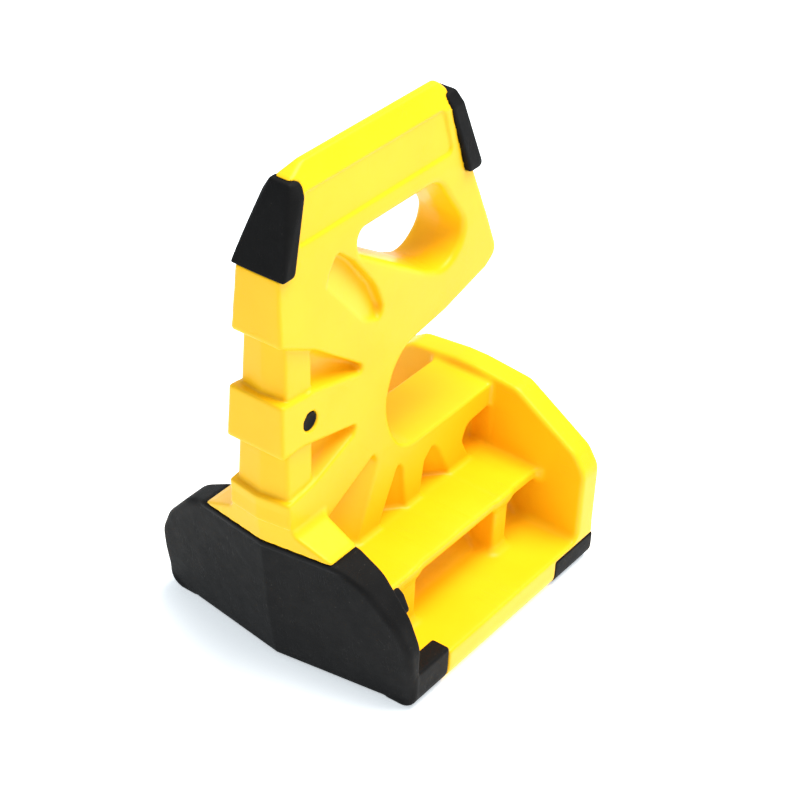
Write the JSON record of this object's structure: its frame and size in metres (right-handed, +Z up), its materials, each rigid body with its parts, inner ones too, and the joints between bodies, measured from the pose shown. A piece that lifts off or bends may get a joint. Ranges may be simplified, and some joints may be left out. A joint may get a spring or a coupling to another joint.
{
  "type": "door wedge",
  "caption": "Moulded plastic door stop: wide wedge base, ribbed column and a tapered handle with finger hole over a door notch, with rubber grip pads on base and handle",
  "frame": {"origin": "centre of the bounding box at the level of the underside, which rests on Z = 0", "axes": "+Z up; +X from the rubber shoe at the front towards the rear wall and the open end of the notch; +Y to the left, seen from the rear wall towards the shoe is right; the object is mirror-symmetric about Y = 0"},
  "size_m": [0.0948, 0.08, 0.1408],
  "materials": {
    "body_plastic": "safety yellow moulding with a fine satin texture",
    "shoe_rubber": "matte black moulded rubber",
    "foot_rubber": "matte black moulded rubber",
    "pad_rubber": "matte black moulded rubber, trimmed edges",
    "plug_rubber": "black rubber plug"
  },
  "bodies": {
    "root": {"wedge_body": "body_plastic", "front_shoe": "shoe_rubber", "rear_foot_left": "foot_rubber", "rear_foot_right": "foot_rubber", "handle_front_pad": "pad_rubber", "handle_rear_pad": "pad_rubber", "column_plug": "plug_rubber"}
  },
  "joints": []
}
